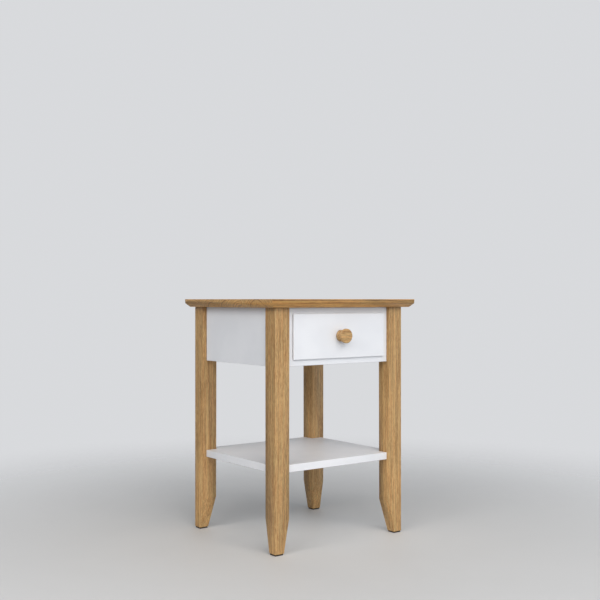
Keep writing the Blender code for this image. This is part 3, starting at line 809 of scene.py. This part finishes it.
def turned_shape(profile, origin, axis, steps):
    """A solid of revolution from (radius, height) points, standing on an origin along an axis."""
    shape = bmesh.new()
    turn = Vector(axis).to_track_quat("Z", "X")
    ring = [shape.verts.new(origin + turn @ Vector((radius, 0, height))) for radius, height in profile]
    edges = [shape.edges.new(pair) for pair in zip(ring, ring[1:])]
    bmesh.ops.spin(shape, geom=ring + edges, cent=origin, axis=axis, angle=2 * math.pi, steps=steps)
    bmesh.ops.remove_doubles(shape, verts=shape.verts, dist=SPIN_MERGE_DISTANCE)
    bmesh.ops.recalc_face_normals(shape, faces=shape.faces)
    return shape


def make_knob():
    low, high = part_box("knob")
    seat = Vector(((low.x + high.x) / 2, high.y, (low.z + high.z) / 2))
    profile = knob_profile(high.y - low.y, (high.x - low.x) / 2)
    shape = turned_shape(profile, seat, (0, -1, 0), KNOB_STEPS)
    heart = (seat.y * MM_PER_METRE + KNOB_HEART[0], seat.z * MM_PER_METRE + KNOB_HEART[1])
    material = wood_material("oak_knob", OAK_KNOB, "X", heart, KNOB_SLIDE)
    add_piece("knob_finish", shape, material, ["knob"])


# ---------------------------------------------------------------- white pieces
def reaches_front(edge, front):
    """Whether an edge has an end on the plane y = front."""
    return min(vertex.co.y for vertex in edge.verts) < front + TOLERANCE


def make_drawer_front():
    """A lip with softly rounded edges, and the plain block behind it."""
    low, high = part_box("drawer_front")
    lip_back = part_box("front_stile_right")[0].y - GAP
    overlap = high.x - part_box("front_stile_right")[0].x + OPENING_PLAY
    shape = box_shape(low, Vector((high.x, lip_back, high.z)))
    back_face = max(shape.faces, key=lambda face: face.calc_center_median().y)
    bmesh.ops.inset_region(shape, faces=[back_face], thickness=overlap, use_even_offset=True)
    extrude(shape, [back_face], (0, high.y - lip_back, 0))
    bmesh.ops.delete(shape, geom=[back_face], context="FACES_ONLY")
    lip_edges = [edge for edge in sharp_edges(shape) if reaches_front(edge, low.y)]
    round_edges(shape, lip_edges, LIP_ARRIS, 5)
    add_piece("drawer_front_finish", shape, WHITE["X"], ["drawer_front"])


def make_face_frame():
    """The rails and stiles, painted over in one with their joints filled."""
    stile_low, stile_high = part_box("front_stile_right")
    top_low, top_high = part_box("front_rail_top")
    bottom_low, bottom_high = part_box("front_rail_bottom")
    low = Vector((-stile_high.x, stile_low.y, bottom_low.z))
    high = Vector((stile_high.x, stile_high.y, top_high.z))
    hole_low = Vector((-stile_low.x, 0, bottom_high.z))
    hole_high = Vector((stile_low.x, 0, top_low.z))
    shape = window_shape(low, high, hole_low, hole_high)
    round_edges(shape, sharp_edges(shape), PAINTED_ARRIS, 4)
    nodes = ["front_rail_top", "front_rail_bottom", "front_stile_left", "front_stile_right"]
    add_piece("face_frame_finish", shape, WHITE["X"], nodes)


def make_panel(node, axis):
    """A painted panel between two legs, along X or Y, with its outer edges softened."""
    low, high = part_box(node)
    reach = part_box("leg_front_right"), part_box("leg_back_right")
    if axis == 0:
        high[axis] = reach[1][0].x - GAP
        low[axis] = -high[axis]
    else:
        low[axis] = reach[0][1].y + GAP
        high[axis] = reach[1][0].y - GAP
    shape = box_shape(low, high)
    round_edges(shape, sharp_edges(shape), PAINTED_ARRIS, 4)
    add_piece(f"{node}_finish", shape, WHITE["XY"[axis]], [node])


def make_shelf():
    """The shelf board, notched round the four legs."""
    low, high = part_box("shelf")
    leg_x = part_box("leg_front_right")[0].x - GAP
    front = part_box("leg_front_right")[1].y + GAP
    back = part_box("leg_back_right")[0].y - GAP
    half = [(leg_x, low.y), (leg_x, front), (high.x, front), (high.x, back), (leg_x, back), (leg_x, high.y)]
    outline = half + [(-x, y) for x, y in reversed(half)]
    shape = outline_shape(outline, low.z, high.z, (0, 1))
    flat = [edge for edge in sharp_edges(shape) if not runs_along(edge, 2)]
    round_edges(shape, flat, PAINTED_ARRIS, 4)
    add_piece("shelf_finish", shape, WHITE["X"], ["shelf"])


def make_foot_pad(end, side):
    node = f"foot_pad_{end}_{side}"
    low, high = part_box(node)
    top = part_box(f"leg_{end}_{side}")[0].z - GAP
    shape = box_shape(low, Vector((high.x, high.y, top)))
    round_edges(shape, sharp_edges(shape), PAD_ARRIS, 3)
    add_piece(f"{node}_finish", shape, FELT, [node])


# ---------------------------------------------------------------- drawer box
def board_material(node, species, axis, number):
    """Wood with the board's own cut: the tree's heart lies a little off the board."""
    low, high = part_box(node)
    across = [(low[i] + high[i]) / 2 * MM_PER_METRE for i in GRAIN_ORDER[axis][1:]]
    turns = [number % cycle for cycle in BOARD_HEART_CYCLE]
    heart = tree_heart(across, BOARD_HEART_START, BOARD_HEART_STEP, turns)
    return wood_material(f"wood_{node}", species, axis, heart, BOARD_SLIDE * number)


def pin_shapes(inner_x, outer_x, root_y, tip_y, low_z, high_z, tails, room=0.0):
    """The pins between dovetail tails, as one shape. The tails widen towards tip_y.

    Half a pin lies at the top and at the bottom, and a whole one between two tails. room makes
    them that much wider on each side, for the sockets that take them.
    """
    pitch = (high_z - low_z) / tails
    shape = bmesh.new()
    for number in range(tails + 1):
        middle = low_z + number * pitch
        corners = []
        for y, half in ((root_y, PIN_ROOT_HALF), (tip_y, PIN_TIP_HALF)):
            bottom = max(low_z, middle - half - room)
            top = min(high_z, middle + half + room)
            corners.append(((y, bottom), (y, top)))
        (a, b), (c, d) = corners
        face = shape.faces.new([shape.verts.new((inner_x, y, z)) for y, z in (a, b, d, c)])
        extrude(shape, [face], (outer_x - inner_x, 0, 0))
    bmesh.ops.recalc_face_normals(shape, faces=shape.faces)
    return shape


def make_drawer_box():
    """The sides with dovetails at both ends, and the front and back with the pins between them."""
    inner_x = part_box("drawer_side_right")[0].x
    outer_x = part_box("drawer_side_right")[1].x
    ends = {
        "drawer_box_front": ("front", FRONT_TAILS),
        "drawer_back": ("back", BACK_TAILS),
    }
    sides = {side: copy_of(f"drawer_side_{side}") for side in SIDES}
    for number, (node, (end, tails)) in enumerate(ends.items()):
        low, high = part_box(node)
        root_y, tip_y = (high.y, low.y) if end == "front" else (low.y, high.y)
        board = copy_of(node)
        for side in SIDES:
            sign = -1 if side == "left" else 1
            span = (sign * (inner_x - PIN_OVERLAP), sign * outer_x)
            pins = pin_shapes(*span, root_y, tip_y, low.z, high.z, tails)
            board = combine(board, pins, "UNION")
            socket_tip = tip_y + math.copysign(PIN_OVERLAP, tip_y - root_y)
            socket = (sign * (inner_x - PIN_OVERLAP), sign * (outer_x + PIN_OVERLAP))
            sockets = pin_shapes(*socket, root_y, socket_tip, low.z, high.z, tails, GLUE_LINE)
            sides[side] = combine(sides[side], sockets, "DIFFERENCE")
        material = board_material(node, PINE, "X", number)
        add_mesh(f"{node}_finish", board, material, [node])
    for number, (side, mesh) in enumerate(sides.items()):
        node = f"drawer_side_{side}"
        material = board_material(node, PINE, "Y", number + 2)
        add_mesh(f"{node}_finish", mesh, material, [node])


# ---------------------------------------------------------------- CAD nodes that stay
def dress(node, material):
    target = frame["nodes"][node]
    target.data.materials.clear()
    target.data.materials.append(material)


def dress_kept_nodes():
    dress("drawer_bottom", PLYWOOD)
    grain_axes = {
        "drawer_guide": "Y",
        "drawer_runner": "Y",
        "drawer_kicker": "Y",
        "stop_batten": "X",
        "stop_button": "Z",
        "shelf_dowel": "X",
    }
    for number, node in enumerate(sorted(frame["nodes"])):
        if "screw" in node:
            dress(node, STEEL)
            continue
        for start, axis in grain_axes.items():
            if node.startswith(start):
                species = BEECH if start == "shelf_dowel" else PINE
                dress(node, board_material(node, species, axis, number))


# ---------------------------------------------------------------- floor, light and camera
def make_floor():
    """A plain pale floor round the object, which fades into the background."""
    shape = bmesh.new()
    bmesh.ops.create_circle(shape, cap_ends=True, segments=96, radius=FLOOR_RADIUS)
    floor = bpy.data.objects.new("floor", mesh_of("floor", shape))
    scene.collection.objects.link(floor)
    material, shader, principled = new_material("pale_floor")
    place = shader.add("TexCoord").outputs["Object"]
    distance = shader.add("VectorMath", {0: place}, operation="LENGTH").outputs["Value"]
    mottle = shader.noise(place, 3.0, scale=FLOOR_MOTTLE_SCALE)
    colour = shader.mix(mottle, FLOOR_PALE, FLOOR_DEEP)
    shader.feed(principled.inputs["Base Color"], colour)
    principled.inputs["Roughness"].default_value = FLOOR_ROUGHNESS
    fade = shader.between(distance, FLOOR_FADE_START, FLOOR_FADE_END, 1.0, 0.0)
    shader.feed(principled.inputs["Alpha"], fade)
    floor.data.materials.append(material)


def make_world():
    """A pale backdrop, and a dim cool sky to light by, which is brighter on the right."""
    world = bpy.data.worlds.new("studio")
    scene.world = world
    world.use_nodes = True
    shader = Shader(world.node_tree)
    direction = shader.split(shader.add("TexCoord").outputs["Generated"])
    low = shader.between(direction[2], 0.0, SKY_REACH, SKY_LOW, 0.0)
    right = shader.between(direction[0], 0.0, SKY_REACH, 0.0, SKY_RIGHT)
    level = shader.math("ADD", low, right)
    sky = shader.vector(*(shader.math("MULTIPLY", level, channel) for channel in SKY_TINT))
    seen = shader.add("LightPath").outputs["Is Camera Ray"]
    background = world.node_tree.nodes["Background"]
    shader.feed(background.inputs["Color"], shader.mix(seen, sky, BACKDROP))


def make_softbox(name, location, aim, size, energy):
    light = bpy.data.lights.new(name, "AREA")
    light.shape = "RECTANGLE"
    light.size, light.size_y = size
    light.energy = energy
    light.color = LAMP_TINT
    lamp = bpy.data.objects.new(name, light)
    scene.collection.objects.link(lamp)
    lamp.location = location
    direction = Vector(aim) - lamp.location
    lamp.rotation_euler = direction.to_track_quat("-Z", "Y").to_euler()


def make_camera():
    """At the height of the top board, so that the top is seen edge-on."""
    camera_data = bpy.data.cameras.new("camera")
    camera_data.sensor_width = CAMERA_SENSOR
    camera_data.lens = CAMERA_LENS
    camera = bpy.data.objects.new("camera", camera_data)
    scene.collection.objects.link(camera)
    camera.location = CAMERA_PLACE
    camera.rotation_euler = (math.radians(90.0), 0.0, math.radians(CAMERA_TURN))
    scene.camera = camera
    scene.view_settings.view_transform = "Standard"


# ---------------------------------------------------------------- the whole picture
make_top()
for number, (end, side) in enumerate((end, side) for end in ENDS for side in SIDES):
    make_leg(end, side, number)
    make_foot_pad(end, side)
make_knob()
make_drawer_front()
make_face_frame()
make_panel("side_panel_left", 1)
make_panel("side_panel_right", 1)
make_panel("back_panel", 0)
make_shelf()
make_drawer_box()
dress_kept_nodes()
make_floor()
make_world()
for name, softbox in SOFTBOXES.items():
    make_softbox(name, *softbox)
make_camera()
